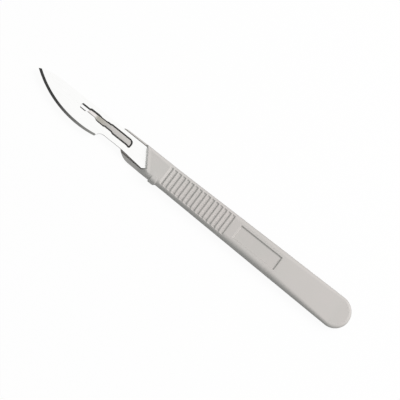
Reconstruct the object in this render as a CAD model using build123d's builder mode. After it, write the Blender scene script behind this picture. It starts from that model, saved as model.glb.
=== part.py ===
from build123d import *
from math import cos, radians, sin, tan
import os

# A disposable scalpel: one steel blade, snapped onto the boss of a moulded plastic handle.
# It lies on its flat back. X runs along the handle towards the blade's point, Y towards its
# cutting edge and Z up. The origin is the middle of the ribbed grip, on the back face.
# All sizes are in millimetres.

# Handle, in plan
neck_width = 10.4
butt_width = 13.0
taper_start_x = 12.2
thinning_start_x = -39.5
butt_centre_x = -66.9

# Handle, in section
handle_thickness = 4.35
butt_thickness = 2.5
edge_round = 2.1
butt_edge_round = 1.2

# Ribbed grip, the same on both faces
groove_count = 16
groove_pitch = 1.958
groove_width = 1.24
groove_depth = 0.45
groove_draft = 25
groove_end_inset = 1.05
groove_corner = 0.35

# Bare recessed panel, on the front face
panel_length = 19.2
panel_width = 6.0
panel_depth = 0.35
panel_draft = 15
panel_corner = 0.2
panel_front_x = -19.6

# Neck between the grip and the blade: its front face dips towards the blade
dip_start_x = 15.6
dip_angle = 5.5
dip_round = 2.3

# Facet on the neck's edge side, in front of the lug
facet_x = 22.6
facet_y = 1.5
facet_angle = 29.0
facet_turn = 27.0
facet_rear_x = 20.5
facet_rear_y = 1.2
facet_lug_y = 3.6

# Stop lug on the edge side, behind the blade
lug_front_x = 19.0
lug_length = 2.3
lug_ramp = 1.1
lug_proud = 0.4
lug_face_inset = 0.1
lug_round = 0.35

# Blade, in plan
blade_length = 54.8
blade_thickness = 0.4
heel_x = 22.24
heel_angle = 33.0
heel_corner_y = 2.4
heel_flat_x = 23.7
heel_y = 3.5
spine_y = -4.5
tang_y = 2.6
flare_start_x = 34.0
shoulder_x = 42.25
edge_end_x = 45.15
edge_end_y = 5.0
belly_x = 52.75
belly_y = 5.84
point_y = -2.4
spine_drop_length = 9.5

# Ground edge of the blade, the same on both faces
bevel_width = 1.05
edge_land = 0.02

# Slot of the blade: a narrow front part and a wide rear part, whose front end leans
slot_front_x = 56.2
narrow_low_y = -2.0
narrow_high_y = -0.41
wide_low_y = -2.75
wide_high_y = 0.0
wide_front_low_x = 43.0
wide_front_high_x = 41.0
slot_rear_x = 32.1
slot_rear_round = 1.4
slot_corner = 0.2
slot_roll = 0.12

# Seat of the blade, on the handle's nose
step_gap = 0.07
nose_tip_x = 39.4
nose_tip_round = 2.4
nose_corner_round = 4.3
side_slope = 40.0
slope_under = 0.1

# Boss that holds the blade by its slot
boss_gap = 0.3
stem_gap = 0.06
head_gap = 0.03
boss_height = 0.55
head_width = 2.2
head_front_x = 52.4
head_lean = 3.4
head_rear_x = 44.6
ramp_length = 3.8
ramp_foot = 0.12
beam_width = 3.0
beam_depth = 1.1
beam_front_x = 52.0

# Worked out from the sizes above
mid_z = handle_thickness / 2
seat_z = mid_z - blade_thickness / 2
blade_top_z = mid_z + blade_thickness / 2
boss_top_z = blade_top_z + boss_height
neck_half = neck_width / 2
lug_reach = neck_half + lug_proud
butt_half = butt_width / 2
spread = (butt_half - neck_half) / (taper_start_x - butt_centre_x)
point_x = heel_x + blade_length
heel_lean = tan(radians(heel_angle))
slot_mid_y = (narrow_low_y + narrow_high_y) / 2


def half_width(x):
    """Half the handle's width at x: its sides spread evenly from the neck to the butt."""
    return neck_half + spread * max(0, taper_start_x - x)


os.makedirs("parts", exist_ok=True)

# The slot's two parts, and the room in front of the heel, are drawn once for both pieces
with BuildSketch(Plane.XY.offset(seat_z)) as narrow_slot:
    with BuildLine():
        Polyline(
            (slot_rear_x + slot_rear_round, narrow_low_y),
            (slot_front_x, narrow_low_y),
            (slot_front_x, narrow_high_y),
            (slot_rear_x + slot_rear_round, narrow_high_y),
            close=True,
        )
    make_face()
    fillet(narrow_slot.vertices().group_by(Axis.X)[-1], slot_corner)

with BuildSketch(Plane.XY.offset(seat_z)) as wide_slot:
    with BuildLine():
        Polyline(
            (slot_rear_x, wide_low_y),
            (wide_front_low_x, wide_low_y),
            (wide_front_high_x, wide_high_y),
            (slot_rear_x, wide_high_y),
            close=True,
        )
    make_face()
    rear_corners = wide_slot.vertices().group_by(Axis.X)[0].sort_by(Axis.Y)
    fillet(rear_corners[0], slot_rear_round)
    fillet(rear_corners[-1], slot_corner)

with BuildSketch(Plane.XY.offset(seat_z)) as seat_room:
    with BuildLine():
        Polyline(
            (heel_x - step_gap + (heel_corner_y + neck_width) * heel_lean, -neck_width),
            (heel_x - step_gap + (heel_corner_y - neck_width) * heel_lean, neck_width),
            (point_x, neck_width),
            (point_x, -neck_width),
            close=True,
        )
    make_face()

# Blade: sheet steel, ground to an edge from both faces along the belly
with BuildPart() as blade:
    with BuildSketch(Plane.XY.offset(seat_z)):
        with BuildLine():
            TangentArc((point_x - spine_drop_length, spine_y), (point_x, point_y), tangent=(1, 0))
            TangentArc((belly_x, belly_y), (point_x, point_y), tangent=(1, 0))
            TangentArc((belly_x, belly_y), (edge_end_x, edge_end_y), tangent=(-1, 0))
            TangentArc((shoulder_x, tang_y), (edge_end_x, edge_end_y), tangent=(1, 0))
            Polyline(
                (shoulder_x, tang_y),
                (flare_start_x, tang_y),
                (heel_flat_x, heel_y),
                (heel_x, heel_corner_y),
                (heel_x + (heel_corner_y - spine_y) * heel_lean, spine_y),
                (point_x - spine_drop_length, spine_y),
            )
        make_face()
    extrude(amount=blade_thickness)
    bevel_height = (blade_thickness - edge_land) / 2
    for face_index in (0, -1):
        blade_face = blade.faces().filter_by(Axis.Z).sort_by(Axis.Z)[face_index]
        rims = blade_face.edges().filter_by(lambda rim: (rim @ 0.5).X > edge_end_x)
        rims = rims.filter_by(lambda rim: (rim @ 0.5).Y > point_y)
        chamfer(rims, bevel_width, bevel_height, reference=blade_face)
    extrude(narrow_slot.sketch, amount=blade_thickness, mode=Mode.SUBTRACT)
    extrude(wide_slot.sketch, amount=blade_thickness, mode=Mode.SUBTRACT)
    # The punch leaves the slot's upper rim rolled over
    slot_rim = blade.faces().filter_by(Axis.Z).sort_by(Axis.Z)[-1].inner_wires()[0].edges()
    chamfer(slot_rim, slot_roll)

blade.part.label = "blade"
export_step(blade.part, "parts/blade.step")

# Stop lug, nearly as deep as the handle, with a square front and a ramp behind
with BuildPart() as lug:
    with BuildSketch(Plane.XY.offset(lug_face_inset)):
        with BuildLine():
            Polyline(
                (lug_front_x, neck_half - edge_round),
                (lug_front_x, lug_reach),
                (lug_front_x - lug_length, lug_reach),
                (lug_front_x - lug_length - lug_ramp, neck_half - lug_round),
                (lug_front_x - lug_length - lug_ramp, neck_half - edge_round),
                close=True,
            )
        make_face()
    extrude(amount=handle_thickness - 2 * lug_face_inset)
    fillet(lug.faces().sort_by(Axis.Y)[-1].edges().filter_by(Axis.X), lug_round)

# What is cut from the nose's edge side, where it slopes away below the blade's tang
with BuildPart() as nose_slope:
    extrude(seat_room.sketch, amount=-seat_z)
    slope_start = Vector(heel_flat_x, heel_y - slope_under, seat_z)
    slope_end = Vector(flare_start_x, tang_y - slope_under, seat_z)
    along = (slope_end - slope_start).normalized()
    with BuildSketch(Plane(origin=slope_start, x_dir=Vector(0, 0, 1).cross(along), z_dir=along)):
        with BuildLine():
            Polyline(
                (0, 0),
                (neck_width, 0),
                (neck_width, -neck_width * tan(radians(side_slope))),
                close=True,
            )
        make_face()
    extrude(amount=blade_length, both=True, mode=Mode.INTERSECT)

# What is cut from the neck's front face: its dip, with rounded sides like the handle's own
with BuildPart() as neck_dip:
    dip_way = Vector(cos(radians(dip_angle)), 0, -sin(radians(dip_angle)))
    dip_side = neck_half - edge_round
    dip_reach = dip_side + dip_round
    with BuildSketch(Plane(origin=(dip_start_x, 0, handle_thickness), x_dir=(0, 1, 0), z_dir=dip_way)):
        with BuildLine():
            RadiusArc((-dip_reach, -dip_round), (-dip_side, 0), dip_round)
            Line((-dip_side, 0), (dip_side, 0))
            RadiusArc((dip_side, 0), (dip_reach, -dip_round), dip_round)
            Polyline(
                (dip_reach, -dip_round),
                (neck_width, -dip_round),
                (neck_width, handle_thickness),
                (-neck_width, handle_thickness),
                (-neck_width, -dip_round),
                (-dip_reach, -dip_round),
            )
        make_face()
    extrude(amount=blade_length)

# What is cut from the neck's edge side, where a facet leads down to the heel's corner
with BuildPart() as neck_facet:
    with BuildSketch(Plane.XY):
        with BuildLine():
            Polyline(
                (facet_rear_x, facet_rear_y),
                (lug_front_x, facet_lug_y),
                (lug_front_x, neck_width),
                (point_x, neck_width),
                (point_x, facet_rear_y - neck_width),
                close=True,
            )
        make_face()
    extrude(amount=2 * handle_thickness)
    facet_z = handle_thickness - (facet_x - dip_start_x) * tan(radians(dip_angle))
    facet_drop = neck_width * tan(radians(facet_angle))
    facet_plane = Plane(
        origin=(facet_x, facet_y, facet_z),
        x_dir=(sin(radians(facet_turn)), cos(radians(facet_turn)), 0),
        z_dir=(cos(radians(facet_turn)), -sin(radians(facet_turn)), 0),
    )
    with BuildSketch(facet_plane):
        with BuildLine():
            Polyline(
                (-neck_width, facet_drop),
                (neck_width, -facet_drop),
                (neck_width, 2 * handle_thickness),
                (-neck_width, 2 * handle_thickness),
                close=True,
            )
        make_face()
    extrude(amount=blade_length, both=True, mode=Mode.INTERSECT)

# Boss's stem and head, with a groove down each side for the slot's edges
with BuildPart() as boss_bar:
    with BuildSketch(Plane.XY.offset(seat_z)):
        with BuildLine():
            Polyline(
                (wide_front_high_x - boss_gap - slot_corner, narrow_low_y + stem_gap),
                (head_front_x, narrow_low_y + stem_gap),
                (head_front_x - head_lean, narrow_high_y - stem_gap),
                (wide_front_high_x - boss_gap - slot_corner, narrow_high_y - stem_gap),
                close=True,
            )
        make_face()
    extrude(amount=boss_top_z - seat_z)
    with BuildSketch(Plane.XY.offset(blade_top_z + head_gap)):
        with BuildLine():
            Polyline(
                (head_rear_x, slot_mid_y - head_width / 2),
                (head_front_x, slot_mid_y - head_width / 2),
                (head_front_x - head_lean, slot_mid_y + head_width / 2),
                (head_rear_x, slot_mid_y + head_width / 2),
                close=True,
            )
        make_face()
    extrude(amount=boss_height - head_gap)
    # The front ramps down, so that the slot rides up over it
    with BuildSketch(Plane.XZ):
        with BuildLine():
            Polyline(
                (head_front_x - ramp_length, boss_top_z),
                (head_front_x, blade_top_z + ramp_foot),
                (head_front_x, boss_top_z),
                close=True,
            )
        make_face()
    extrude(amount=butt_width, both=True, mode=Mode.SUBTRACT)

# Handle: one moulding
with BuildPart() as handle:
    # Grip and nose, in plan: the nose's front leans as the blade's heel does
    nose_corner_x = nose_tip_x - neck_width * heel_lean
    with BuildSketch(Plane.XY) as outline:
        with BuildLine():
            Polyline(
                (thinning_start_x, -half_width(thinning_start_x)),
                (taper_start_x, -neck_half),
                (nose_tip_x, -neck_half),
                (nose_corner_x, neck_half),
                (taper_start_x, neck_half),
                (thinning_start_x, half_width(thinning_start_x)),
                close=True,
            )
        make_face()
        fillet(outline.vertices().sort_by(Axis.X)[-1], nose_tip_round)
        fillet(outline.vertices().sort_by_distance((nose_corner_x, neck_half, 0))[0], nose_corner_round)
    extrude(amount=handle_thickness)
    back_rim = handle.faces().sort_by(Axis.Z)[0].edges().sort_by(Axis.X)[1:]
    front_rim = handle.faces().sort_by(Axis.Z)[-1].edges().sort_by(Axis.X)[1:]
    fillet(back_rim + front_rim, edge_round)

    # The rear thins out, and ends in a round butt
    add(handle.faces().sort_by(Axis.X)[0])
    butt_plane = Plane(origin=(butt_centre_x, 0, mid_z), x_dir=(0, 1, 0), z_dir=(1, 0, 0))
    with BuildSketch(butt_plane):
        RectangleRounded(butt_width, butt_thickness, butt_edge_round)
    loft(ruled=True)
    with BuildSketch(butt_plane):
        RectangleRounded(butt_width, butt_thickness, butt_edge_round)
        with Locations((-butt_width, 0)):
            Rectangle(2 * butt_width, 2 * butt_thickness, mode=Mode.SUBTRACT)
    revolve(axis=Axis((butt_centre_x, 0, 0), (0, 0, 1)), revolution_arc=180)

    # The neck dips, with the facet beside it, and the stop lug stands behind them
    add(neck_dip.part, mode=Mode.SUBTRACT)
    add(neck_facet.part, mode=Mode.SUBTRACT)
    add(lug.part)

    # Seat: the front is cut down to the blade's underside, and its edge side slopes away
    extrude(seat_room.sketch, amount=handle_thickness, mode=Mode.SUBTRACT)
    add(nose_slope.part, mode=Mode.SUBTRACT)

    # Ribbed grip
    front_face = Plane.XY.offset(handle_thickness)
    back_face = Plane(origin=(0, 0, 0), x_dir=(1, 0, 0), z_dir=(0, 0, -1))
    for face in (front_face, back_face):
        with BuildSketch(face) as grooves:
            for step in range(groove_count):
                groove_x = groove_pitch * (step - (groove_count - 1) / 2)
                groove_length = 2 * (half_width(groove_x) - groove_end_inset)
                with Locations((groove_x, 0)):
                    Rectangle(groove_width, groove_length)
            chamfer(grooves.vertices(), groove_corner)
        extrude(amount=-groove_depth, taper=groove_draft, mode=Mode.SUBTRACT)

    # Bare panel
    with BuildSketch(front_face):
        with Locations((panel_front_x - panel_length / 2, 0)):
            RectangleRounded(panel_length, panel_width, panel_corner)
    extrude(amount=-panel_depth, taper=panel_draft, mode=Mode.SUBTRACT)

    # Boss: a beam under the blade, a block in the slot's wide part, a stem through its narrow part
    with BuildSketch(Plane.XY.offset(seat_z)):
        with Locations(((nose_corner_x + beam_front_x) / 2, slot_mid_y)):
            SlotOverall(beam_front_x - nose_corner_x, beam_width)
    extrude(amount=-beam_depth)
    with BuildSketch(Plane.XY.offset(seat_z)):
        add(wide_slot.sketch)
        offset(amount=-boss_gap)
    extrude(amount=boss_top_z - seat_z)
    add(boss_bar.part)

handle.part.label = "handle"
export_step(handle.part, "parts/handle.step")
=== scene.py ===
# disposable scalpel: one moulded plastic handle, and one ground steel blade snapped onto its boss
import math
import bpy
import bmesh
import numpy as np
from mathutils import Matrix, Vector


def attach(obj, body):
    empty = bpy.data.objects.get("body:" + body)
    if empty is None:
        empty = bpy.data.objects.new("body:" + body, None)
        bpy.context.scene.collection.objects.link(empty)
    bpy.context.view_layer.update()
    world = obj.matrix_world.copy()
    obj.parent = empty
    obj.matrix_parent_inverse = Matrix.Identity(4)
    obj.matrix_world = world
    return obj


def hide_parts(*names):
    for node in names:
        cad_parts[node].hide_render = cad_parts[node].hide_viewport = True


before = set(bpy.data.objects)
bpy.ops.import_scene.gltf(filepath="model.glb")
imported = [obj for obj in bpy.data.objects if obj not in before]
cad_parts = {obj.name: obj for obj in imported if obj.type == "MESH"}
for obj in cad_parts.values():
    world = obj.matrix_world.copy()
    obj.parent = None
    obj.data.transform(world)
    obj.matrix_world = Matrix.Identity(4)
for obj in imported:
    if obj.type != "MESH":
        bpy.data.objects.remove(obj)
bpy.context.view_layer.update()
print("stage 1: frame loaded")

mm = 0.001  # the sizes below are in millimetres, in the frame of the CAD model


def smoothStep(t):
    # 3t^2 - 2t^3, held at 0 and 1 outside
    t = np.clip(t, 0, 1)
    return t * t * (3 - 2 * t)


def ease(t, start, length):
    # smooth change from 0 to 1 over a length; a length below 0 runs backwards
    return smoothStep((t - start) / length)


def between(a, b, share):
    return a + (b - a) * share


def partWay(x, start, end):
    # 0 at the start and before it, 1 at the end and beyond
    return np.clip((x - start) / (end - start), 0, 1)


def softRamp(t, width):
    # 0 below zero and t above it, with a parabola over the width between
    middle = (t + width / 2) ** 2 / (2 * width)
    return np.where(t < -width / 2, 0, np.where(t > width / 2, t, middle))


def softLower(a, b, width):
    # the lower of two heights; where they cross, the corner is filled over the width
    h = np.clip(0.5 + 0.5 * (b - a) / width, 0, 1)
    return b * (1 - h) + a * h - width * h * (1 - h)


def quarterTurn(count):
    return np.radians(np.linspace(0, 90, count))


def gridQuads(rows, columns, closed=False):
    # every cell of a grid whose columns close into a loop, and whose rows may do so too
    i, j = np.meshgrid(np.arange(rows if closed else rows - 1), np.arange(columns), indexing="ij")
    here, ahead, k = i * columns, (i + 1) % rows * columns, (j + 1) % columns
    return np.stack([here + j, here + k, ahead + k, ahead + j], -1).reshape(-1, 4)


def evenlyAlong(path, count, closed=False):
    # points at equal steps of length along a line of straight pieces
    path = np.asarray(path, float)
    if closed:
        path = np.vstack([path, path[:1]])
    length = np.hstack([[0], np.cumsum(np.hypot(*np.diff(path, axis=0).T))])
    steps = np.linspace(0, length[-1], count + closed)[:count]
    return np.column_stack([np.interp(steps, length, axis) for axis in path.T])


def arcBetween(centre, start, end, radius, count):
    # points of a circle, the short way round between the directions of two points
    first = math.atan2(*(start - centre)[::-1])
    turn = math.atan2(*(end - centre)[::-1]) - first
    turn = (turn + math.pi) % (2 * math.pi) - math.pi
    angle = first + turn * np.linspace(0, 1, count)
    return centre + radius * np.stack([np.cos(angle), np.sin(angle)], -1)


def tangentArc(start, way, end, count):
    # circle through both points that leaves the first in the given direction:
    # radius = |chord|^2 / (2 chord . left)
    start, way, end = np.asarray(start, float), np.asarray(way, float), np.asarray(end, float)
    left = np.array([-way[1], way[0]])
    chord = end - start
    radius = chord @ chord / (2 * chord @ left)
    return arcBetween(start + left * radius, start, end, abs(radius), count)


def roundedOutline(corners, radii, steps=8):
    # straight pieces, each corner replaced by an arc that touches both its sides
    corners = np.asarray(corners, float)
    pieces = []
    for index, radius in enumerate(radii):
        here = corners[index]
        back = corners[index - 1] - here
        ahead = corners[(index + 1) % len(corners)] - here
        back /= np.hypot(*back)
        ahead /= np.hypot(*ahead)
        half = math.acos(np.clip(back @ ahead, -1, 1)) / 2
        reach = radius / math.tan(half)
        middle = (back + ahead) / np.hypot(*(back + ahead)) * radius / math.sin(half)
        ends = here + back * reach, here + ahead * reach
        pieces.append(arcBetween(here + middle, *ends, radius, steps))
    return np.vstack(pieces)


def outwardOf(loop):
    # unit normals of a closed counter-clockwise line, from the neighbours on both sides
    way = np.roll(loop, -1, axis=0) - np.roll(loop, 1, axis=0)
    way /= np.maximum(np.hypot(way[:, 0], way[:, 1]), 1e-9)[:, None]
    return np.stack([way[:, 1], -way[:, 0]], -1)


def atHeight(plan, height):
    # the height is one number, or one for each point
    return np.column_stack([plan, np.broadcast_to(height, len(plan))])


def stackRings(loop, insets, heights):
    # a profile carried round a plan: ring k is the plan moved inwards by insets[k], at heights[k].
    # Flat faces close both ends
    outward = outwardOf(loop)
    rings = [atHeight(loop - outward * inset, height) for inset, height in zip(insets, heights)]
    count = len(loop)
    quads = gridQuads(len(rings), count)
    last = (len(rings) - 1) * count
    ends = [list(range(count))[::-1], list(range(last, last + count))]
    return np.vstack(rings), quads.tolist() + ends


def distances(points, point):
    return np.hypot(*(points - point).T)


def joinSurfaces(surfaces):
    # several surfaces as one list of points and one of faces
    points, faces, start = [], [], 0
    for ownPoints, ownFaces in surfaces:
        points.append(ownPoints)
        faces += [[start + corner for corner in face] for face in ownFaces]
        start += len(ownPoints)
    return np.vstack(points), faces


def addObject(name, data):
    added = bpy.data.objects.new(name, data)
    bpy.context.scene.collection.objects.link(added)
    return added


def makePiece(name, points, faces, materials, faceMaterial, sharpAngle):
    mesh = bpy.data.meshes.new(name)
    mesh.from_pydata((points * mm).tolist(), [], faces)
    for material in materials:
        mesh.materials.append(material)
    mesh.polygons.foreach_set("material_index", np.asarray(faceMaterial, dtype=np.int32))
    mesh.polygons.foreach_set("use_smooth", np.ones(len(faces), dtype=bool))
    work = bmesh.new()
    work.from_mesh(mesh)
    bmesh.ops.remove_doubles(work, verts=work.verts, dist=2e-7)
    work.to_mesh(mesh)
    work.free()
    mesh.set_sharp_from_angle(angle=math.radians(sharpAngle))
    mesh.update()
    return addObject(name, mesh)


cameraValues = {
    "tilt": 16.5,  # degrees away from straight down
    "towardsPoint": 0.276,  # share of the tilt that goes towards the blade's point
    "towardsEdge": 0.961,  # and towards the cutting edge
    "slope": 38.6,  # degrees that the handle runs downhill in the picture
    "aim": (0.0, 0.0, 2.175),  # middle of the grip, half way up the handle
    "aimPixel": (196.05, 200.52),  # where that point falls in the picture
    "millimetresPerPixel": 0.3748,
    "pictureSize": 400,
    "lens": 400.0,  # long, so that the view is nearly parallel
    "sensor": 36.0,
}


def makeCamera(values):
    # back = (sin tilt * side, cos tilt); the picture's axes are the handle's own axis, flattened
    # into the picture plane and turned by the slope
    tilt = math.radians(values["tilt"])
    side = Vector((values["towardsPoint"], values["towardsEdge"], 0)).normalized()
    back = side * math.sin(tilt) + Vector((0, 0, math.cos(tilt)))
    along = Vector((-1, 0, 0))
    along = (along - back * along.dot(back)).normalized()
    across = back.cross(along)
    slope = math.radians(values["slope"])
    right = along * math.cos(slope) + across * math.sin(slope)
    up = across * math.cos(slope) - along * math.sin(slope)
    pixel = values["millimetresPerPixel"] * mm
    size = values["pictureSize"]
    distance = size * pixel * values["lens"] / values["sensor"]
    shiftRight, shiftDown = ((size / 2 - aim) * pixel for aim in values["aimPixel"])
    middle = Vector(values["aim"]) * mm + right * shiftRight - up * shiftDown
    data = bpy.data.cameras.new("camera")
    data.lens = values["lens"]
    data.sensor_width = values["sensor"]
    data.clip_start = distance * 0.1
    data.clip_end = distance * 10
    camera = addObject("camera", data)
    turn = Matrix((right, up, back)).transposed()
    camera.matrix_world = Matrix.Translation(middle + back * distance) @ turn.to_4x4()
    bpy.context.scene.camera = camera
    return right, up


pictureRight, pictureUp = makeCamera(cameraValues)
bpy.context.scene.view_settings.view_transform = "Standard"
print("stage 2: camera")


handleValues = {
    "neckHalf": 5.2,
    "buttHalf": 6.5,
    "taperStart": 12.2,
    "thinningStart": -39.5,
    "buttCentre": -66.9,
    "top": 4.35,
    "middle": 2.175,
    "buttThickness": 2.5,
    "edgeRound": 2.1,
    "buttEdgeRound": 1.2,
    "partingLine": 0.02,  # how far the faint line along the sides stands out
    # ribbed grip
    "grooveCount": 16,
    "groovePitch": 1.958,
    "grooveWidth": 1.68,
    "grooveDepth": 0.5,
    "grooveFront": 1.3,  # the foremost groove runs out gently towards the neck
    "grooveWall": 0.5,
    "grooveEndInset": 1.12,
    "grooveShift": 0.17,  # the grooves sit a little towards the edge's side
    "grooveCorner": 0.35,
    # bare panel
    "panelFront": -19.1,
    "panelLength": 19.7,
    "panelWidth": 6.0,
    "panelDepth": 0.52,
    "panelWall": 0.3,
    # neck. A pair named Over is where a change starts and how long it is; a length below 0 runs
    # towards the grip
    "dipStart": 15.2,
    "dipAlong": 0.024,  # fall towards the blade, as height over length
    "dipAcross": 0.004,  # fall towards the edge's side, from a curved border along the spine
    "dipGrowth": 2.5,  # length over which that begins
    "dipSpine": 0.5,  # the band along the spine falls only by this share of dipAlong
    "dipSpineOver": (-1.0, 1.8),  # across that border
    "dipBorder": -3.45,
    "dipBorderMiddle": 20.9,
    "dipBorderBend": 0.038,
    "dipSoft": (1.0, 0.3, 0.4),  # widths of the soft starts along, across and at the heel
    "heelRise": 0.1,  # beside the heel the face rises again, over a narrow band
    "heelBand": 1.4,
    "padFrom": (15.6, -0.9),  # the pad beside the lug rises again: its inner border, two points
    "padTo": (20.5, 1.25),
    "padBlend": 2.8,
    "padOver": (19.0, 2.6),  # and where it ends
    # step, seat and nose
    "heelX": 22.24,
    "heelY": 2.4,
    "heelAngle": 33.0,
    "stepGap": 0.04,
    "stepRound": 0.12,
    "stepEdge": (1.2, 1.1),  # its round and its overhang end here, across the handle
    "overhang": 0.12,  # the step's upper edge reaches this far over the blade's heel
    "overhangLow": 2.6,  # height where that begins
    "overhangLength": 1.5,
    "seat": 1.975,
    "noseTip": 39.4,
    "noseTipRound": 1.9,
    "noseCornerRound": 5.5,
    "noseCornerShares": (0.75, 0.7),  # its length and its depth, as shares of that
    "noseClosing": 2.4,  # length over which the last rows get closer
    "spineTaper": 0.02,  # the nose gets narrower by this share along its spine's side
    "recessStart": 19.0,  # from here the columns move towards the recess's walls
    "creviceDepth": 1.2,  # the blade lies in a recess with a narrow gap all round
    "creviceHeel": 0.3,  # share of that depth at the heel
    "creviceFade": 2.2,  # it is full this far in front of the heel
    "creviceWall": 0.24,  # share of the gap's width for each of its walls
    "edgeCrevice": 0.42,
    "creviceRear": 25.0,
    "creviceSpread": 0.048,  # from there the gap gets wider towards the point
    "spineCrevice": 0.27,
    "spineRim": 2.34,
    "spineY": 4.36,
    "sideCrest": 2.3,  # height of the nose's edge side, where it starts to slope away
    "sideStart": 0.3,  # how far beyond the tang that is
    "sideFall": 1.15,  # its fall, as height over width
    "sideRise": 2.4,  # how much higher it starts at the heel
    "sideRiseOver": (24.8, -4.3),
    "sideEnd": 0.5,  # and how much more at the lug
    "sideEndOver": (21.2, -2.2),
    "sideFill": (0.4, 0.6),  # width of the filled corner beside it, and what is added at the lug
    "sideFillOver": ((24.5, -3), (18.2, 1.5)),
    "sideRound": 1.7,  # round of the back under that side
    "sideRoundOver": (18.5, 3),
    "leastThickness": 0.07,
    "tangRear": (23.7, 3.5),
    "tangFront": (34.0, 2.6),
}


def halfWidthAt(x, values):
    # the sides spread evenly from the neck to the butt
    neck, start = values["neckHalf"], values["taperStart"]
    spread = (values["buttHalf"] - neck) / (start - values["buttCentre"])
    return neck + spread * np.maximum(0, start - x)


def grooveDepthAt(x, y, values):
    # distance inside the nearest groove's rounded rectangle, turned into a wall and a floor
    count, pitch = values["grooveCount"], values["groovePitch"]
    number = np.clip(np.round(x / pitch + (count - 1) / 2), 0, count - 1)
    centre = pitch * (number - (count - 1) / 2)
    halfLength = halfWidthAt(centre, values) - values["grooveEndInset"]
    corner = values["grooveCorner"]
    overX = np.abs(x - centre) - values["grooveWidth"] / 2 + corner
    overY = np.abs(y - values["grooveShift"]) - halfLength + corner
    outside = np.hypot(np.maximum(overX, 0), np.maximum(overY, 0))
    outside = outside + np.minimum(np.maximum(overX, overY), 0)
    isFront = (number == count - 1) & (x > centre)
    wall = np.where(isFront, values["grooveFront"], values["grooveWall"])
    return values["grooveDepth"] * smoothStep((corner - outside) / wall)


def panelDepthAt(x, y, values):
    centre = values["panelFront"] - values["panelLength"] / 2
    overX = np.abs(x - centre) - values["panelLength"] / 2
    overY = np.abs(y) - values["panelWidth"] / 2
    return values["panelDepth"] * np.clip(-np.maximum(overX, overY) / values["panelWall"], 0, 1)


def noseLimits(values):
    # the heel's lean, as length over width, and the rows where the step stands and the nose ends
    lean = math.tan(math.radians(values["heelAngle"]))
    front = values["noseTip"] - lean * (values["neckHalf"] + values["heelY"])
    return lean, values["heelX"] - values["stepGap"], front


def neckDipAt(x, y, values):
    # the neck's face falls gently towards the blade and, from a curved border along the spine,
    # towards the edge's side; the pad beside the lug rises again
    start, end = np.array(values["padFrom"]), np.array(values["padTo"])
    way = (end - start) / np.hypot(*(end - start))
    beyondPad = -(x - start[0]) * way[1] + (y - start[1]) * way[0]
    pad = ease(beyondPad, 0, values["padBlend"]) * (1 - ease(x, *values["padOver"]))
    border = values["dipBorder"] + values["dipBorderBend"] * (x - values["dipBorderMiddle"]) ** 2
    fromBorder = y - border
    share = between(values["dipSpine"], 1, ease(fromBorder, *values["dipSpineOver"]))
    softAlong, softAcross, softHeel = values["dipSoft"]
    along = values["dipAlong"] * softRamp(x - values["dipStart"], softAlong) * share
    across = values["dipAcross"] * softRamp(fromBorder, softAcross)
    across = across * ease(x, values["dipStart"], values["dipGrowth"])
    toHeel = values["heelX"] + noseLimits(values)[0] * (values["heelY"] - y) - x
    rise = values["heelRise"] * softRamp(values["heelBand"] - toHeel, softHeel)
    return values["top"] - np.maximum(along + across - rise, 0) * (1 - pad)


def tangEdgeAt(x, values):
    # the tang's lower edge: a straight line that spreads towards the heel
    rearX, rearY = values["tangRear"]
    frontX, frontY = values["tangFront"]
    return np.where(x < frontX, rearY + (frontY - rearY) * (x - rearX) / (frontX - rearX), frontY)


def noseSideAt(x, y, values):
    # the plane that slopes away beside the tang; it starts higher towards the heel and is gone
    # at the lug
    crest = values["sideCrest"] + values["sideRise"] * ease(x, *values["sideRiseOver"])
    crest = crest + values["sideEnd"] * ease(x, *values["sideEndOver"])
    return crest - values["sideFall"] * (y - tangEdgeAt(x, values) - values["sideStart"])


def rimDrop(distance, radius):
    # how far a round rim has fallen at a distance inside its outline: r - sqrt(r^2 - (r - d)^2)
    over = np.clip(radius - distance, 0, radius)
    return radius - np.sqrt(radius**2 - over**2)


def neckTopAt(x, y, side, values):
    # the lowest of the slab with its round rim, the dipped face and the sloping side; the corner
    # between the last two is filled
    slab = values["top"] - rimDrop(side - np.abs(y), values["edgeRound"])
    least, more = values["sideFill"]
    front, rear = values["sideFillOver"]
    soft = least + more * ease(x, *front) * ease(x, *rear)
    return softLower(np.minimum(slab, neckDipAt(x, y, values)), noseSideAt(x, y, values), soft)


def columnsAround(gap, width, end, wallShares):
    # widths of the section's columns: even up to the gap, close together over its walls, then
    # closer and closer
    inside = np.linspace(0, 1, 13)[:-1]
    outside = np.sin(quarterTurn(15))[1:]
    across = gap + width * wallShares
    beyond = between(across[:, -1:], end, outside)
    return np.minimum(np.hstack([gap * inside, across, beyond]), end)


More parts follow.
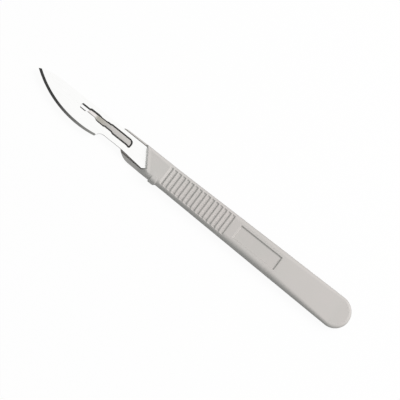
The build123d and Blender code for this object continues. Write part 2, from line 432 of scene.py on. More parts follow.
def makeNeckAndNose(rowS, lean, usual, values):
    # sections of the neck and nose. A row is a line x = s + lean (heel - y). In front of the heel
    # the face is the blade's recess: seat, gap with two walls, then the low rim or sloping side
    heelLean, heelRow, noseFront = noseLimits(values)
    radius, half, seat = values["edgeRound"], values["neckHalf"], values["seat"]
    heelY, least = values["heelY"], values["leastThickness"]
    toFront = noseFront - rowS
    isNose = np.zeros(rowS.shape, bool)
    isNose[np.flatnonzero(rowS >= heelRow)[1:]] = True

    # outline on both sides, with the corner rounds of the plan
    tip = values["noseTipRound"]
    tipLength = tip * (1 + math.cos(math.radians(values["heelAngle"])))
    cornerLength, cornerDepth = values["noseCornerRound"] * np.array(values["noseCornerShares"])
    tipShare = np.clip(1 - toFront / tipLength, 0, 1)
    cornerShare = np.clip(1 - toFront / cornerLength, 0, 1)
    spineEnd = half - tip * (1 - np.sqrt(1 - tipShare**2))
    spineEnd = spineEnd - values["spineTaper"] * np.maximum(rowS - heelRow, 0)
    rimEnd = half - cornerDepth * (1 - np.sqrt(1 - cornerShare**2))
    backRound = between(radius, values["sideRound"], ease(rowS, *values["sideRoundOver"]))

    # where the sloping side meets the back's round rim: found on a fine line of widths
    width = rimEnd * np.linspace(0.5, 1, 600)
    backZ = rimDrop(rimEnd - width, backRound)
    below = neckTopAt(rowS + lean * (heelY - width), width, rimEnd, values) < backZ + least
    meet = np.where(below.any(axis=1), np.argmax(below, axis=1), width.shape[1] - 1)
    edgeEnd = np.take_along_axis(width, meet[:, None], 1)

    # the recess's border: along the heel's cut corner, then along the tang
    rearX, rearY = values["tangRear"]
    frontX, frontY = values["tangFront"]
    cut = (rearY - heelY) / (rearX - values["heelX"])
    spread = (frontY - rearY) / (frontX - rearX)
    start = np.maximum(rowS, heelRow) + heelLean * heelY - rearX
    room = np.minimum((rearY + cut * start) / (1 + cut * heelLean),
                      np.maximum((rearY + spread * start) / (1 + spread * heelLean), frontY))
    edgeGap = np.maximum(rowS - values["creviceRear"], 0)
    edgeGap = values["edgeCrevice"] + values["creviceSpread"] * edgeGap
    spineGap, spineRoom = values["spineCrevice"], np.full(rowS.shape, values["spineY"])
    wall = values["creviceWall"]
    walls = wall * np.array([0, 0.5, 1, 1.5])
    walls = np.hstack([walls, [0.5], 1 - walls[::-1]])
    mix = ease(rowS, values["recessStart"], heelRow - values["recessStart"])
    flat, rim = usual

    def columnsOf(room, gap, end):
        # the grip's widths, and more and more those of the recess towards the heel
        grip = np.hstack([flat + 0 * end, between(flat[-1], end, rim)])
        return grip * (1 - mix) + columnsAround(room, gap, end, walls) * mix

    edgeY = columnsOf(room, edgeGap, edgeEnd)
    spineY = columnsOf(spineRoom, spineGap, spineEnd)
    y = np.hstack([-spineY[:, :0:-1], edgeY, edgeY[:, ::-1], -spineY[:, 1:]])
    topCount = y.shape[1] // 2
    topY, lowY = y[:, :topCount], y[:, topCount:]
    onEdge = topY > 0

    topEnd = np.where(onEdge, rimEnd, spineEnd)
    beside = neckTopAt(rowS + lean * (heelY - topY), topY, topEnd, values)
    backEnd = np.where(lowY > 0, rimEnd, spineEnd)
    lowZ = rimDrop(backEnd - np.abs(lowY), np.where(lowY > 0, backRound, radius))
    lowZ = np.maximum(lowZ, rimDrop(toFront, radius))
    stepShare = 1 - ease(topY, *values["stepEdge"])
    step = rimDrop(heelRow - rowS, values["stepRound"]) * stepShare
    outer = np.where(onEdge, beside, values["spineRim"])
    gap = np.where(onEdge, (topY - room) / edgeGap, (-topY - spineRoom) / spineGap)
    deep = between(values["creviceHeel"], 1, ease(rowS, heelRow, values["creviceFade"]))
    deep = deep * values["creviceDepth"]
    bottom = np.minimum(seat, np.maximum(seat - deep, lowZ[:, ::-1] + least))
    recess = np.where(gap < 0.5, between(seat, bottom, ease(gap, 0, wall)),
                      between(bottom, outer, ease(gap, 1 - wall, wall)))
    topZ = np.where(isNose, recess, beside - step)
    lowZ = np.minimum(lowZ, topZ[:, ::-1] - least)

    # the mould's parting line is a faint ridge between the section's two halves; it dies out
    # where they come close together
    ridge = values["partingLine"] * smoothStep((topZ[:, -1:] - lowZ[:, :1]) / least - 1)
    y = np.hstack([topY, edgeY[:, -1:] + ridge, lowY, y[:, :1] - values["partingLine"]])
    z = np.hstack([topZ, (topZ[:, -1:] + lowZ[:, :1]) / 2,
                   lowZ, (topZ[:, :1] + lowZ[:, -1:]) / 2])
    x = rowS + lean * (heelY - y)

    # the step leans over the heel: its rows move forward, more the higher they are
    high = partWay(topZ, values["overhangLow"], values["top"])
    length = values["overhangLength"]
    near = ease(rowS, heelRow - length, length) * ~isNose
    x[:, :topCount] += values["overhang"] * near * high * stepShare
    return x, y, z


def mirrorQuarter(quarter, ridge, across, up):
    # a quarter of the section as the whole loop: top from the spine's side to the edge's side,
    # side line, back, side line; across and up are -1 where the mirrored parts change sign
    return np.hstack([across * quarter[:, :0:-1], quarter, ridge, up * quarter[:, ::-1],
                      across * up * quarter[:, 1:], across * ridge])


def makeHandleBody(values):
    # one section carried along the handle: flat columns out to a border, then a round rim at
    # angles b, r sin b beyond the border and r (1 - cos b) below the face. Rows are spokes round
    # the butt, cross lines along the grip, and in front lines that lean like the blade's heel
    count = values["grooveCount"]
    grip = values["groovePitch"] * (np.arange(count) - (count - 1) / 2)
    half, wall = values["grooveWidth"] / 2, values["grooveWall"]
    offsets = half - wall * np.linspace(-0.12, 1.12, 9)
    offsets = np.hstack([-offsets, [-half / 5, half / 5], offsets[::-1]])
    grooveRows = (grip[:, None] + offsets).ravel()
    panelFront = values["panelFront"]
    panelRear = panelFront - values["panelLength"]
    panelEdge = values["panelWall"] * np.linspace(-0.2, 1.2, 6)
    straight = np.hstack([
        np.linspace(values["buttCentre"], panelRear - 0.4, 26),
        panelRear + panelEdge,
        np.linspace(panelRear + 0.6, panelFront - 0.6, 16),
        panelFront - panelEdge[::-1],
        np.linspace(panelFront + 0.4, grooveRows[0] - 0.2, 6),
        grooveRows,
    ])
    spokes = np.radians(90 * np.linspace(0, 1, 22)[:-1] ** 1.15)
    angles = np.radians([0, 7, 13, 17, 20, 23, 26, 29, 32, 35, 38, 42, 48, 55, 62, 69, 76, 83, 90])
    inner = np.array([0, 0.6, 1.2, 1.8, 2.3, 2.7, 2.82, 2.86, 2.9, 2.94, 2.98, 3.02, 3.06])

    rowX = np.hstack([np.full(len(spokes), values["buttCentre"]), straight])[:, None]
    spoke = np.hstack([spokes, np.full(len(straight), math.pi / 2)])[:, None]
    thin = partWay(rowX, values["thinningStart"], values["buttCentre"])
    rim = between(values["edgeRound"], values["buttEdgeRound"], thin)
    thick = between(values["middle"], values["buttThickness"] / 2, thin)
    border = halfWidthAt(rowX, values) - rim
    outX, outY = -np.cos(spoke), np.sin(spoke)

    # columns of one quarter, from the centre line out to the side
    share = np.linspace(0, 1, 5)[1:-1]
    flat = np.hstack([inner + 0 * rowX, between(inner[-1], border, share), border])
    out = border + rim * np.sin(angles[1:])
    rimZ = thick - rim * (1 - np.cos(angles[1:]))
    ridge = border + rim + values["partingLine"]
    quarterX = rowX + outX * np.hstack([border + 0 * flat, out])
    x = mirrorQuarter(quarterX, rowX + outX * ridge, 1, 1)
    y = mirrorQuarter(outY * np.hstack([flat, out]), outY * ridge, -1, 1)
    z = mirrorQuarter(np.hstack([thick + 0 * flat, rimZ]), 0 * ridge, 1, -1)
    z = z + values["middle"]
    groove = grooveDepthAt(x, y, values)
    panel = panelDepthAt(x, y, values)
    topColumns = 2 * quarterX.shape[1] - 1
    onTop = np.arange(x.shape[1]) < topColumns
    onBack = z < values["middle"] - 0.1
    z = np.where(onTop, z - groove - panel, np.where(onBack, z + groove, z))

    # in front the rows lean over until they lie along the heel; two rows there make the step down
    # to the seat, and the last rows close in on the nose's front
    heelLean, heelRow, noseFront = noseLimits(values)
    stepRows = values["stepRound"] * (1 - np.sin(quarterTurn(7)))
    neckRows = np.hstack([
        np.linspace(grooveRows[-1] + 0.2, heelRow - values["stepRound"] - 0.1, 44),
        heelRow - stepRows,
    ])
    length = values["noseClosing"]
    closing = length * np.sin(quarterTurn(20))
    noseRows = np.hstack([np.linspace(heelRow, noseFront - length, 22)[:-1],
                          noseFront - length + closing])
    rowS = np.hstack([neckRows, noseRows])[:, None]
    leanStart = grooveRows[-1] + 0.3
    lean = heelLean * ease(rowS, leanStart, heelRow - leanStart)
    neckX, neckY, neckZ = makeNeckAndNose(rowS, lean, (flat[-1], np.sin(angles[1:])), values)
    points = np.stack([np.vstack([x, neckX]), np.vstack([y, neckY]), np.vstack([z, neckZ])], -1)
    rows, columns, _ = points.shape
    faces = gridQuads(rows, columns)[:, ::-1].tolist()
    faces.append(list(range((rows - 1) * columns, rows * columns))[::-1])
    # the step's wall, for its material with painted light
    stepRow = rows - len(noseRows) - 1
    kind = np.zeros(len(faces), int)
    kind[stepRow * columns:stepRow * columns + topColumns] = 1
    return points.reshape(-1, 3), faces, kind


lugValues = {
    "front": 19.0,
    "length": 2.3,
    "ramp": 1.1,
    "reach": 5.6,
    "rampReach": 4.9,
    "inner": 3.15,
    "low": 0.1,
    "high": 4.349,
    "rampHigh": 3.6,
    "frontEdge": 0.25,  # round of its front end
    "frontRound": 1.6,
    "backRound": 0.8,
}


def makeLug(values):
    # sections carried along the handle: flat top, round r, upright side, round r, flat underside.
    # Over the ramp both the reach and the height fall back into the handle's own rim
    start, edge = values["front"] - values["length"], values["frontEdge"]
    x = np.hstack([start - values["ramp"] * (1 - np.linspace(0, 1, 10)[:-1]),
                   np.linspace(start, values["front"] - edge, 8),
                   values["front"] - edge * (1 - np.sin(quarterTurn(7)[1:]))])[:, None]
    grown = ease(x, start - values["ramp"], values["ramp"])
    closing = rimDrop(values["front"] - x, edge)
    reach = between(values["rampReach"], values["reach"], grown) - closing
    high = between(values["rampHigh"], values["high"], grown) - closing
    low = values["low"] + closing
    bend = quarterTurn(9)
    front, back = values["frontRound"], values["backRound"]
    inner = np.full(x.shape, values["inner"])
    y = np.hstack([inner, reach - front * (1 - np.sin(bend)), reach - back * (1 - np.cos(bend)),
                   inner])
    z = np.hstack([high, high - front * (1 - np.cos(bend)), low + back * (1 - np.sin(bend)), low])
    x = np.broadcast_to(x, y.shape)
    rows, columns = y.shape
    faces = gridQuads(rows, columns)[:, ::-1].tolist()
    faces += [list(range(columns)), list(range((rows - 1) * columns, rows * columns))[::-1]]
    return np.stack([x, y, z], -1).reshape(-1, 3), faces


bossValues = {
    "seat": 1.975,
    "bladeTop": 2.375,
    "top": 2.7,
    "edgeRound": 0.12,
    "beamWidth": 3.0,
    "beamMiddle": -1.2,
    "beamDepth": 1.1,
    "beamFront": 52.0,
    "beamRear": 30.0,
    "beamRound": 0.5,
    "beamCorner": 0.3,  # in plan, at its rear end
    "beamNose": 0.98,  # round of its front end in plan, as a share of half its width
    "stem": 0.6,  # how far the boss reaches down into the beam
    "plan": [(32.48, -2.22), (42.18, -2.25), (42.78, -2.02), (51.7, -1.9), (52.4, -1.6),
             (52.75, -0.76), (49.2, -0.7), (48.3, -0.27), (44.9, -0.27), (44.2, -0.58),
             (41.0, -0.58), (40.2, -0.27), (33.9, -0.27), (32.48, -0.12)],
    "planRounds": [1.27, 0.8, 0.8, 0.5, 0.2, 0.2, 0.8, 0.8, 0.8, 0.8, 0.8, 0.8, 0.6, 0.06],
    "rampRear": 48.8,
    "rampFront": 52.6,
}


def makeBoss(values):
    # beam under the blade, then the boss that fills the slot. Each is a plan carried up, with a
    # round rim; in front the boss's height falls evenly towards the point
    bend = quarterTurn(6)
    middle, half = values["beamMiddle"], values["beamWidth"] / 2
    rear, front = values["beamRear"], values["beamFront"]
    corner, nose = values["beamCorner"], half * values["beamNose"]
    plan = roundedOutline([(rear, middle - half), (front, middle - half),
                           (front, middle + half), (rear, middle + half)],
                          [corner, nose, nose, corner], 16)
    r = values["beamRound"]
    low = values["seat"] - values["beamDepth"]
    insets = np.hstack([r * (1 - np.sin(bend)), [0]])
    heights = np.hstack([low + r * (1 - np.cos(bend)), [values["seat"]]])
    beam = stackRings(evenlyAlong(plan, 180, closed=True), insets, heights)

    r = values["edgeRound"]
    loop = evenlyAlong(roundedOutline(values["plan"], values["planRounds"]), 460, closed=True)
    ramp = partWay(loop[:, 0], values["rampRear"], values["rampFront"])
    top = between(values["top"], values["bladeTop"], ramp)
    insets = np.hstack([[0], r * (1 - np.sin(bend))[::-1]])
    heights = [values["seat"] - values["stem"]] + [top - r * (1 - c) for c in np.cos(bend)[::-1]]
    return [beam, stackRings(loop, insets, heights)]


bladeValues = {
    "length": 54.8,
    "low": 1.975,
    "high": 2.375,
    "heelX": 22.24,
    "heelY": 2.4,
    "heelAngle": 33.0,
    "heelFlat": (23.7, 3.5),
    "spineY": -4.36,
    "tangY": 2.6,
    "flareStart": 34.0,
    "shoulder": 42.25,
    "edgeEnd": (45.15, 5.0),
    "belly": (52.75, 5.84),
    "pointY": -2.17,
    "spineDrop": 9.5,
    "bevelWidth": 1.05,
    "bevelRear": 0.85,  # the ground edge gets narrower towards its rear end
    "edgeLand": 0.02,
    "edgeBreak": 0.04,
    "breakFade": 0.6,  # length over which that begins behind the ground edge
    # from the slot's rear corner on the spine's side round to the one on the edge's
    "slot": [(32.4, -2.29), (42.2, -2.33), (42.8, -2.1), (51.75, -1.98), (52.3, -1.71),
             (56.1, -1.71), (56.1, -0.58), (49.2, -0.62), (48.3, -0.19), (44.9, -0.19),
             (44.2, -0.5), (41.0, -0.5), (40.2, -0.1), (33.9, -0.13), (32.4, -0.02)],
    "slotRounds": [1.35, 0.9, 0.9, 0.9, 0.9, 0.15, 0.15, 0.9, 0.9, 0.9, 0.9, 0.9, 0.9, 0.6, 0.08],
    "slotFrontCorner": 5,
    "slotMiddle": -1.2,
    # the slot's punched rim is rolled over: width on the spine's side and on the edge's, and where
    # across the slot the one gives way to the other
    "rollWidth": (0.62, 0.42),
    "rollAcross": (-2.0, -0.5),
    "rollDepth": 0.2,
    "rollLip": 0.05,  # width of the last ring of the flat round it
    # where the roll dies out or is wider: the side (-1 the spine's, 1 the edge's, 0 both), how
    # much, then start and length of the change at both ends
    "rollLeast": 0.1,  # share that stays where it dies out
    "rollEnd": (55.75, 0.3),
    "rollLess": [(1, 0.35, (44.6, 0.8), (53.6, -0.6)), (1, 0.65, (47.2, 1.8), (53.6, -0.6)),
                 (-1, 0.32, (43.9, 0.8), (47.6, -0.8))],
    "rollMore": [(0, 0.14, (0, 1), (33.4, -0.7)), (-1, 0.12, (47.6, 0.8), (52.5, -0.8))],
}


def bladeLoops(values):
    # plans of the blade and its slot with as many points each, matched so that lines between them
    # never cross; also the name of the part that each point of the blade's plan is in
    lean = math.tan(math.radians(values["heelAngle"]))
    pointX = values["heelX"] + values["length"]
    point = (pointX, values["pointY"])
    spineFront = (pointX - values["spineDrop"], values["spineY"])
    spineRear = (values["heelX"] + (values["heelY"] - values["spineY"]) * lean, values["spineY"])
    heelCorner = (values["heelX"], values["heelY"])
    tang = (values["flareStart"], values["tangY"])
    shoulder = (values["shoulder"], values["tangY"])
    counts = {"spine": 320, "drop": 90, "front": 260, "rear": 110, "shoulder": 60, "tang": 70,
              "flare": 90, "corner": 14, "heel": 50}
    lines = {
        "spine": [spineRear, spineFront],
        "drop": tangentArc(spineFront, (1, 0), point, counts["drop"] + 1),
        "front": tangentArc(values["belly"], (1, 0), point, 400)[::-1],
        "rear": tangentArc(values["belly"], (-1, 0), values["edgeEnd"], counts["rear"] + 1),
        "shoulder": tangentArc(shoulder, (1, 0), values["edgeEnd"], counts["shoulder"] + 1)[::-1],
        "tang": [shoulder, tang],
        "flare": [tang, values["heelFlat"]],
        "corner": [values["heelFlat"], heelCorner],
        "heel": [heelCorner, spineRear],
    }
    pieces = []
    for name, line in lines.items():
        even = line if len(line) == counts[name] + 1 else evenlyAlong(line, counts[name] + 1)
        pieces.append(even[:-1])
    outline = np.vstack(pieces)
    part = np.repeat(list(counts), list(counts.values()))

    # beside the slot each point of the plan is paired with the slot's at the same length along
    # the blade; what lies in front of it or behind it is shared out along the slot's ends
    corner = values["slotFrontCorner"]
    after = corner + 1
    slot = roundedOutline(values["slot"], values["slotRounds"], 12).reshape(-1, 12, 2)
    low = np.vstack([slot[0, 6:], slot[1:corner].reshape(-1, 2), slot[corner, :7]])
    end = np.vstack([slot[corner, 6:], slot[after, :7]])
    high = np.vstack([slot[after, 6:], slot[after + 1:-1].reshape(-1, 2), slot[-1, :7]])
    back = np.vstack([slot[-1, 6:], slot[0, :7]])
    alongX = outline[:, 0]
    order = np.arange(len(outline))
    onSpine = order < counts["spine"] + counts["drop"] // 2
    lowIndex = order[onSpine & (alongX > low[0, 0]) & (alongX < low[-1, 0])]
    highIndex = order[~onSpine & (alongX < high[0, 0]) & (alongX > high[-1, 0])]
    endIndex = order[lowIndex[-1] + 1:highIndex[0]]
    backIndex = np.hstack([order[highIndex[-1] + 1:], order[:lowIndex[0]]])
    inner = np.zeros_like(outline)
    for index, line in ((lowIndex, low), (highIndex, high[::-1])):
        inner[index] = np.column_stack([alongX[index], np.interp(alongX[index], *line.T)])
    inner[endIndex] = evenlyAlong(end, len(endIndex) + 2)[1:-1]
    inner[backIndex] = evenlyAlong(back, len(backIndex) + 2)[1:-1]
    return outline, inner, part


def slotBands(slot, bands, values):
    # sum of the bands along the slot's rim, each on its side and between its two ends
    side = slot[:, 1] - values["slotMiddle"]
    total = np.zeros(len(slot))
    for onSide, amount, start, end in bands:
        total += (side * onSide >= 0) * amount * ease(slot[:, 0], *start) * ease(slot[:, 0], *end)
    return total


edgeParts = ("front", "rear"), "drop", "shoulder"
shearedParts = "shoulder", "tang", "flare", "corner", "heel"


def makeBlade(values):
    # rings from the slot's wall over its rolled rim to the flat, the ground edge and round to the
    # back face. The ground edge falls evenly from the flat to the cutting edge; near the point and
    # at its rear end its inner line stops on the spine and on the shoulder
    outline, slot, part = bladeLoops(values)
    outward = outwardOf(outline)
    low, high = values["low"], values["high"]
    middle = (low + high) / 2
    land = values["edgeLand"] / 2
    count = len(outline)
    far = 9  # longer than any distance that counts below
    nearPoint = 3
    isEdge, isDrop, isShoulder = (np.isin(part, names) for names in edgeParts)
    first, last = np.flatnonzero(isEdge)[[0, -1]]

    rearShare = partWay(outline[:, 0], values["belly"][0], values["edgeEnd"][0])
    width = between(values["bevelWidth"], values["bevelRear"], rearShare)
    inset = np.where(isEdge, width, values["edgeBreak"])
    inner = outline - outward * inset[:, None]

    def fadeIn(where, distance):
        # the broken edge begins over a length
        broken = inset * np.clip(distance / values["breakFade"], 0, 1)
        inner[where] = (outline - outward * broken[:, None])[where]

    # near the point, the ground edge's inner line ends where it meets the spine
    fromPoint = distances(outline, outline[first])
    toSpine = inner[:, None] - outline[isDrop]
    meets = np.hypot(toSpine[..., 0], toSpine[..., 1])
    nearest = np.where(isEdge & (fromPoint < nearPoint), meets.min(axis=1), far)
    meetRow = np.argmin(nearest)
    meetPoint = outline[isDrop][np.argmin(meets[meetRow])]
    meetReach = distances(meetPoint, outline[first])
    nearEdge = isEdge & (np.arange(count) <= meetRow)
    nearSpine = isDrop & (fromPoint < meetReach)
    inner[nearEdge | nearSpine] = meetPoint
    fadeIn(isDrop & ~nearSpine, fromPoint - meetReach)
    # at its rear end it stops on the shoulder
    rearGap = distances(outline, inner[last])
    stop = np.argmin(np.where(isShoulder, rearGap, far))
    nearShoulder = isShoulder & (np.arange(count) < stop)
    inner[nearShoulder] = outline[stop]
    fadeIn(isShoulder & ~nearShoulder, distances(outline, outline[stop]))
    # heights of the side's upper line: the land at the cutting edge, the flat's broken edge beside
    rise = np.where(isEdge, 0.0, 1.0)
    rise = np.where(nearSpine, fromPoint / meetReach, rise)
    fromRear = distances(outline, outline[last])
    rise = np.where(nearShoulder, fromRear / fromRear[stop], rise)
    rise = np.clip(rise, 0, 1)
    edgeBreak = values["edgeBreak"] * (1 - (nearSpine | nearShoulder))
    sideHigh = middle + land + (high - middle - land - edgeBreak) * rise
    sideLow = 2 * middle - sideHigh

    slotOut = outwardOf(slot)
    atEnd = ease(slot[:, 0], *values["rollEnd"])
    less = np.maximum(atEnd, slotBands(slot, values["rollLess"], values))
    rollWidth = np.interp(slot[:, 1], values["rollAcross"], values["rollWidth"])
    rollWidth = rollWidth * between(1, values["rollLeast"], less)
    rollWidth = rollWidth + slotBands(slot, values["rollMore"], values)
    rings = [(slot, low)]
    roll = quarterTurn(6)
    for angle in roll:
        rings.append((slot + slotOut * (rollWidth * (1 - math.cos(angle)))[:, None],
                      high - values["rollDepth"] * (1 - math.sin(angle))))
    rings.append((slot + slotOut * (rollWidth + values["rollLip"])[:, None], high))
    rings += [(inner, high), (outline, sideHigh), (outline, sideLow), (inner, low)]
    points = np.vstack([atHeight(*ring) for ring in rings])
    ringCount = len(rings)
    # faces run from slot to flat, over the side and back underneath
    faces = gridQuads(ringCount, count, closed=True)[:, [0, 3, 2, 1]]
    ring, column = np.divmod(np.arange(len(faces)), count)
    ground = (isEdge | nearSpine | nearShoulder)[column]
    sheared = np.isin(part, shearedParts)[column] & ~ground
    flatRing = ringCount - 4
    kind = np.zeros(len(faces), int)
    kind[ring < len(roll)] = 1  # slot wall and rolled rim, steel painted near black as dark reflection and shade
    kind[((ring == flatRing) | (ring == flatRing + 2)) & ground] = 2  # ground edge, steel painted near black as dark reflection
    # the sheared outline's broken edge and side, painted near black as shade in the gap beside
    # them
    kind[((ring == flatRing) | (ring == flatRing + 1)) & sheared] = 1
    return points, faces.tolist(), kind


def newMaterial(name):
    material = bpy.data.materials.new(name)
    material.use_nodes = True
    return material, material.node_tree.nodes


def setInputs(node, inputs):
    # each input gets a link if it is given a socket, and a value otherwise
    for name, given in inputs.items():
        if isinstance(given, bpy.types.NodeSocket):
            node.id_data.links.new(given, node.inputs[name])
        else:
            node.inputs[name].default_value = given
    return node


def colourRamp(nodes, share, stops):
    # stops are places and colours, in order
    ramp = nodes.new("ShaderNodeValToRGB")
    elements = ramp.color_ramp.elements
    for element, (place, colour) in zip(elements, (stops[0], stops[-1])):
        element.position, element.color = place, (*colour, 1)
    for place, colour in stops[1:-1]:
        elements.new(place).color = (*colour, 1)
    return setInputs(ramp, {"Fac": share}).outputs["Color"]


def mixColours(nodes, share, under, over, blend="MIX"):
    # a Mix node has its colours in inputs 6 and 7 and output 2
    mix = nodes.new("ShaderNodeMix")
    mix.data_type, mix.blend_type = "RGBA", blend
    return setInputs(mix, {"Factor": share, 6: under, 7: over}).outputs[2]


def calculate(nodes, operation, first, second):
    node = nodes.new("ShaderNodeMath")
    node.operation = operation
    return setInputs(node, {0: first, 1: second}).outputs[0]


def lengthOf(nodes, place):
    return setInputs(nodes.new("ShaderNodeSeparateXYZ"), {"Vector": place}).outputs["X"]


def shareAlong(nodes, length, start, end):
    # 0 to 1 between two places along the handle, in metres
    inputs = {"Value": length, "From Min": start, "From Max": end}
    return setInputs(nodes.new("ShaderNodeMapRange"), inputs).outputs["Result"]


def addNoise(nodes, place, scale, detail):
    inputs = {"Vector": place, "Scale": scale, "Detail": detail}
    return setInputs(nodes.new("ShaderNodeTexNoise"), inputs).outputs["Fac"]


def addBump(nodes, height, strength, distance):
    inputs = {"Height": height, "Strength": strength, "Distance": distance}
    return setInputs(nodes.new("ShaderNodeBump"), inputs).outputs["Normal"]


plasticValues = {
    "cloud": (90, 3),  # scale and detail
    "tones": ((0.3, (0.612, 0.583, 0.566)), (0.7, (0.592, 0.578, 0.556))),
    "paintedFrontLight": (1.08, 1.08, 1.085),  # painted light: the front half, which the lamp lights less, made lighter against the grip and the butt
    "paintedFrontLightOver": (0.004, 0.018),
    "bossStart": 0.042,  # from here on, the boss's tones, with painted shade and a painted highlight
    "bossOver": (0.040, 0.050),
    # painted shade where the boss grips the blade, and a painted highlight on its ramp in front
    "bossShadeAndHighlight": ((0.3, (0.590, 0.576, 0.555)), (0.6, (0.52, 0.50, 0.455)),
                  (0.82, (0.54, 0.52, 0.47)), (0.94, (0.99, 0.95, 0.93))),
    # painted shade where the surface turns away from the camera
    "turnedAwayPaintedShade": (0.2, 0.2, 0.195),
    "turnedAwayShadePower": 4,
    "roughness": 0.45,
    "stepWallPaintedLight": (0.86, 0.85, 0.83),  # the step's wall, painted light that lifts its shade
    "stepWallRoughness": 0.5,
    "specular": 0.3,
    "grain": (4200, 2),
    "grainBump": (0.25, 0.00003),  # strength and height in metres
}


def plasticSurface(name, roughness, values):
    # satin, with the mould's fine grain; the colour is still to be set
    material, nodes = newMaterial(name)
    place = nodes.new("ShaderNodeTexCoord").outputs["Object"]
    grain = addNoise(nodes, place, *values["grain"])
    shader = setInputs(nodes["Principled BSDF"], {
        "Roughness": roughness, "Specular IOR Level": values["specular"],
        "Normal": addBump(nodes, grain, *values["grainBump"])})
    return material, nodes, shader, place


def makePlastic(values):
    # satin moulded plastic with a very slight change of tone, and painted light and shade
    material, nodes, shader, place = plasticSurface("handlePlastic", values["roughness"], values)
    tone = colourRamp(nodes, addNoise(nodes, place, *values["cloud"]), values["tones"])
    length = lengthOf(nodes, place)
    # painted light: the front half made lighter, as the lamp lights it less than the grip and the
    # butt
    front = shareAlong(nodes, length, *values["paintedFrontLightOver"])
    tone = mixColours(nodes, front, tone, (*values["paintedFrontLight"], 1), "MULTIPLY")
    # along the boss: painted shade where it grips the blade, and a painted highlight on the ramp
    # in front
    boss = colourRamp(nodes, shareAlong(nodes, length, *values["bossOver"]), values["bossShadeAndHighlight"])
    onBoss = calculate(nodes, "GREATER_THAN", length, values["bossStart"])
    tone = mixColours(nodes, onBoss, tone, boss)
    # painted shade: darker where the surface turns away from the camera
    turned = setInputs(nodes.new("ShaderNodeLayerWeight"), {"Blend": 0.5}).outputs["Facing"]
    turnedShadeShare = calculate(nodes, "POWER", turned, values["turnedAwayShadePower"])
    tone = mixColours(nodes, turnedShadeShare, tone, (*values["turnedAwayPaintedShade"], 1))
    setInputs(shader, {"Base Color": tone})
    return material


def makeStepPlastic(values):
    # the step's wall, painted pale as light on a wall that would be in shade
    material, _, shader, _ = plasticSurface("stepWallLitPlastic", values["stepWallRoughness"], values)
    setInputs(shader, {"Base Color": (*values["stepWallPaintedLight"], 1)})
    return material


steelValues = {
    # tones of the lines; how much they are drawn out, as the noise's scale along each axis
    "bladeSteel": {"tones": ((0.3, (0.93, 0.93, 0.92)), (0.7, (0.97, 0.97, 0.965))),
                   "roughness": 0.16, "stretch": (300, 9000, 9000), "bump": 0.08},
    # near black on the slot's rim and the sheared edges: painted dark reflection and shade
    "punchedRimDarkReflection": {"tones": ((0.3, (0.03, 0.03, 0.03)), (0.7, (0.07, 0.07, 0.065))),
                   "roughness": 0.5, "stretch": (6000, 6000, 6000), "bump": 0.3},
    # near black on the ground edge, lighter towards its rear end: painted dark reflection
    "groundEdgeDarkReflection": {"tones": ((0.3, (0.035, 0.035, 0.035)), (0.7, (0.065, 0.065, 0.063))),
                   "roughness": 0.3, "stretch": (9000, 600, 600), "bump": 0.3,
                   "rearReflectionTone": (0.24, 0.24, 0.23), "rearOver": (0.064, 0.0465)},
}
lineDetail, lineHeight = 4, 0.00001  # the height in metres


def makeSteel(name, values):
    # steel with fine lines from rolling or grinding: noise drawn out along one direction. A rear
    # tone of painted reflection, if given, takes over towards the ground edge's rear end; the near
    # black tones of the rim and the ground edge are painted dark reflection
    material, nodes = newMaterial(name)
    place = nodes.new("ShaderNodeTexCoord").outputs["Object"]
    draw = setInputs(nodes.new("ShaderNodeMapping"), {"Vector": place, "Scale": values["stretch"]})
    lines = addNoise(nodes, draw.outputs["Vector"], 1, lineDetail)
    tone = colourRamp(nodes, lines, values["tones"])
    if "rearReflectionTone" in values:
        rear = shareAlong(nodes, lengthOf(nodes, place), *values["rearOver"])
        tone = mixColours(nodes, rear, tone, (*values["rearReflectionTone"], 1))
    setInputs(nodes["Principled BSDF"], {
        "Metallic": 1, "Roughness": values["roughness"], "Base Color": tone,
        "Normal": addBump(nodes, lines, values["bump"], lineHeight)})
    return material


plasticMaterials = [makePlastic(plasticValues), makeStepPlastic(plasticValues)]
steelMaterials = [makeSteel(name, values) for name, values in steelValues.items()]
print("stage 3: materials")

bodyPoints, bodyFaces, bodyKind = makeHandleBody(handleValues)
points, faces = joinSurfaces([(bodyPoints, bodyFaces), makeLug(lugValues)] + makeBoss(bossValues))
kind = np.hstack([bodyKind, np.zeros(len(faces) - len(bodyKind), int)])
handle = makePiece("handleMoulding", points, faces, plasticMaterials, kind, 40)
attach(handle, "root")
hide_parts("handle")
print("stage 4: handle,", len(faces), "faces")

points, faces, kind = makeBlade(bladeValues)
blade = makePiece("bladeSheet", points, faces, steelMaterials, kind, 8)
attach(blade, "root")
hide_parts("blade")
print("stage 5: blade,", len(faces), "faces")


studioValues = {
    "floorSize": 4.0,  # metres
    "floorBounce": 0.35,  # how much light the floor gives back to the object
    "shadowShare": 0.06,  # how much of its shadow the white floor shows
    "worldStrength": 0.41,
    "worldColour": (0.955, 1.0, 0.985),
    "lampColour": (1.0, 0.95, 0.945),
    "lampSize": 0.6,
    "lampEnergy": 8.9,
    "lampDistance": 1.06,
    "lampHeight": 42.0,  # degrees above the floor
    "lampSide": (1.0, 0.11),  # where it stands in the picture: right, up
}


def seenOrLit(nodes, rays, lit, seen):
    # one shader as light on the object, the other for any of the given kinds of ray
    path = nodes.new("ShaderNodeLightPath")
    share = path.outputs[rays[0]]
    for ray in rays[1:]:
        share = calculate(nodes, "MAXIMUM", share, path.outputs[ray])
    inputs = {"Fac": share, 1: lit.outputs[0], 2: seen.outputs[0]}
    return setInputs(nodes.new("ShaderNodeMixShader"), inputs).outputs[0]


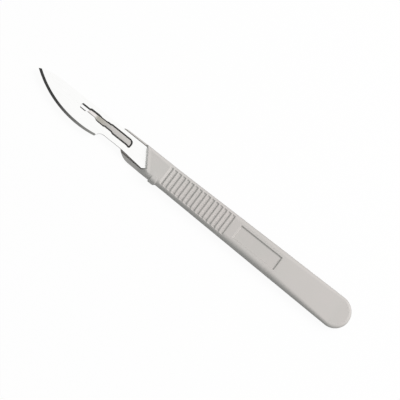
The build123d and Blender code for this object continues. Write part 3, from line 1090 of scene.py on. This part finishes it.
def makeFloor(values):
    # seen by the camera and in the metal, the floor is white with a faint shadow; the light it
    # gives back to the object is less
    half = values["floorSize"] / 2
    mesh = bpy.data.meshes.new("floor")
    mesh.from_pydata([(-half, -half, 0), (half, -half, 0), (half, half, 0), (-half, half, 0)],
                     [], [(0, 1, 2, 3)])
    floor = addObject("floor", mesh)
    material, nodes = newMaterial("whiteFloor")
    nodes.clear()
    level = values["floorBounce"]
    white = setInputs(nodes.new("ShaderNodeEmission"), {"Color": (1, 1, 1, 1), "Strength": 1})
    shadowed = setInputs(nodes.new("ShaderNodeBsdfDiffuse"), {"Color": (1, 1, 1, 1)})
    bounce = setInputs(nodes.new("ShaderNodeBsdfDiffuse"), {"Color": (level, level, level, 1)})
    paper = setInputs(nodes.new("ShaderNodeMixShader"), {
        "Fac": values["shadowShare"], 1: white.outputs[0], 2: shadowed.outputs[0]})
    rays = ("Is Camera Ray", "Is Glossy Ray", "Is Transmission Ray")
    surface = seenOrLit(nodes, rays, bounce, paper)
    setInputs(nodes.new("ShaderNodeOutputMaterial"), {"Surface": surface})
    mesh.materials.append(material)


def makeLight(values):
    # white for the camera and in the metal, a softer grey as light; and one lamp
    world = bpy.data.worlds.new("world")
    bpy.context.scene.world = world
    world.use_nodes = True
    nodes = world.node_tree.nodes
    nodes.clear()
    soft = setInputs(nodes.new("ShaderNodeBackground"), {
        "Color": (*values["worldColour"], 1), "Strength": values["worldStrength"]})
    white = setInputs(nodes.new("ShaderNodeBackground"), {"Color": (1, 1, 1, 1), "Strength": 1})
    surface = seenOrLit(nodes, ("Is Camera Ray", "Is Glossy Ray"), soft, white)
    setInputs(nodes.new("ShaderNodeOutputWorld"), {"Surface": surface})
    data = bpy.data.lights.new("key", "AREA")
    data.size = values["lampSize"]
    data.energy = values["lampEnergy"]
    data.color = values["lampColour"]
    lamp = addObject("key", data)
    side = pictureRight * values["lampSide"][0] + pictureUp * values["lampSide"][1]
    side.z = 0
    height = math.radians(values["lampHeight"])
    towards = side.normalized() * math.cos(height) + Vector((0, 0, math.sin(height)))
    lamp.location = towards * values["lampDistance"]
    lamp.rotation_mode = "QUATERNION"
    lamp.rotation_quaternion = towards.to_track_quat("Z", "Y")


makeFloor(studioValues)
makeLight(studioValues)
print("stage 6: floor and light")
